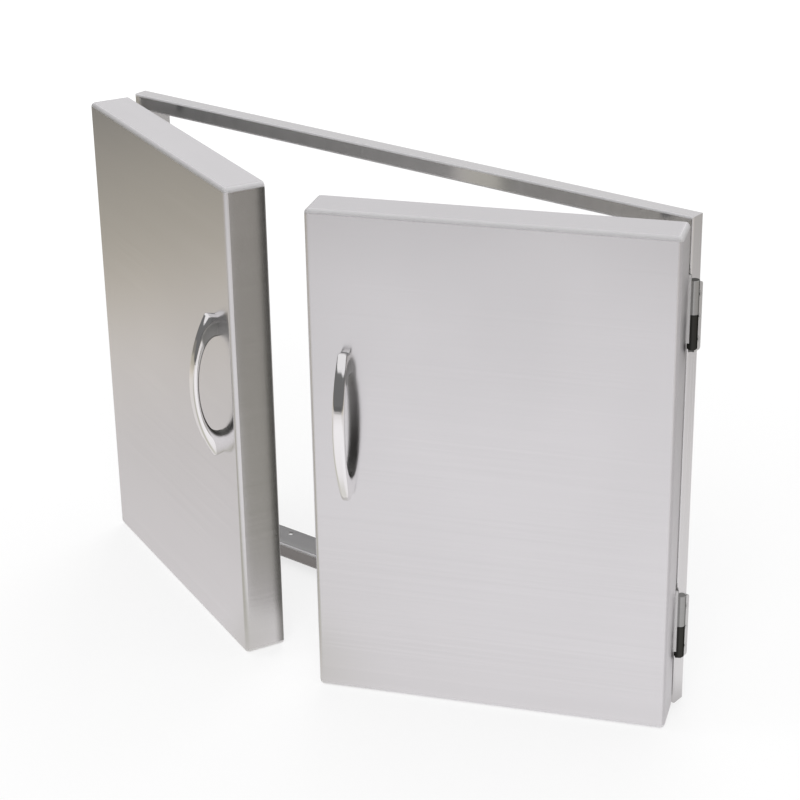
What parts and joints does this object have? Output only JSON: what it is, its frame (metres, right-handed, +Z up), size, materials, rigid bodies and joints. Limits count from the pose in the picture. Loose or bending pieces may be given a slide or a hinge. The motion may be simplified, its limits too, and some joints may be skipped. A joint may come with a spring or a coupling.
{
  "type": "outdoor kitchen access door",
  "caption": "Stainless access doors for an outdoor kitchen island: overlay doors with arched pull handles and magnetic catches, hinged on a slim folded-sheet frame.",
  "frame": {"origin": "middle of the frame's bottom edge, in the plane of the wall's face on which the frame's rim stands", "axes": "+X across the doors, towards the right-hand door as seen from outside; +Y into the wall; +Z up"},
  "size_m": [0.7296, 0.2308, 0.5],
  "materials": {
    "door_steel": "brushed stainless steel, grain across the door",
    "frame_steel": "satin stainless steel",
    "liner_steel": "brushed stainless sheet",
    "handle_steel": "polished stainless steel",
    "hinge_steel": "satin stainless steel",
    "fastener_steel": "plain stainless fasteners",
    "plated_steel": "zinc-plated sheet",
    "magnet": "dark magnet, plain faces",
    "carrier_plastic": "black moulded plastic",
    "washer_nylon": "black nylon",
    "bumper_rubber": "black rubber"
  },
  "bodies": {
    "frame": {"frame_bottom_rail": "frame_steel", "frame_top_rail": "frame_steel", "frame_left_stile": "frame_steel", "frame_right_stile": "frame_steel", "hinge_washers": "washer_nylon", "frame_leaf_screws": "fastener_steel", "frame_nut_plates": "plated_steel", "catch_magnets": "magnet", "magnet_carriers": "carrier_plastic", "left_upper_frame_leaf": "hinge_steel", "left_upper_hinge_pin": "hinge_steel", "left_lower_frame_leaf": "hinge_steel", "left_lower_hinge_pin": "hinge_steel", "right_upper_frame_leaf": "hinge_steel", "right_upper_hinge_pin": "hinge_steel", "right_lower_frame_leaf": "hinge_steel", "right_lower_hinge_pin": "hinge_steel"},
    "left_door": {"left_outer_pan": "door_steel", "left_back_liner": "liner_steel", "left_stiffener": "plated_steel", "left_handle": "handle_steel", "left_handle_backing": "plated_steel", "left_handle_screws": "fastener_steel", "left_upper_door_leaf": "hinge_steel", "left_lower_door_leaf": "hinge_steel", "left_door_leaf_screws": "fastener_steel", "left_door_nut_plates": "plated_steel", "left_strike_plates": "plated_steel", "left_strike_rivets": "fastener_steel", "left_bumpers": "bumper_rubber"},
    "right_door": {"right_outer_pan": "door_steel", "right_back_liner": "liner_steel", "right_stiffener": "plated_steel", "right_handle": "handle_steel", "right_handle_backing": "plated_steel", "right_handle_screws": "fastener_steel", "right_upper_door_leaf": "hinge_steel", "right_lower_door_leaf": "hinge_steel", "right_door_leaf_screws": "fastener_steel", "right_door_nut_plates": "plated_steel", "right_strike_plates": "plated_steel", "right_strike_rivets": "fastener_steel", "right_bumpers": "bumper_rubber"}
  },
  "joints": [
    {"name": "left_door_hinge", "type": "hinge", "parent": "frame", "child": "left_door", "pos_m": [-0.35175, -0.01725, 0.25], "axis": [0, 0, -1], "range_deg": [-23, 92]},
    {"name": "right_door_hinge", "type": "hinge", "parent": "frame", "child": "right_door", "pos_m": [0.35175, -0.01725, 0.25], "axis": [0, 0, 1], "range_deg": [-23, 92]}
  ]
}
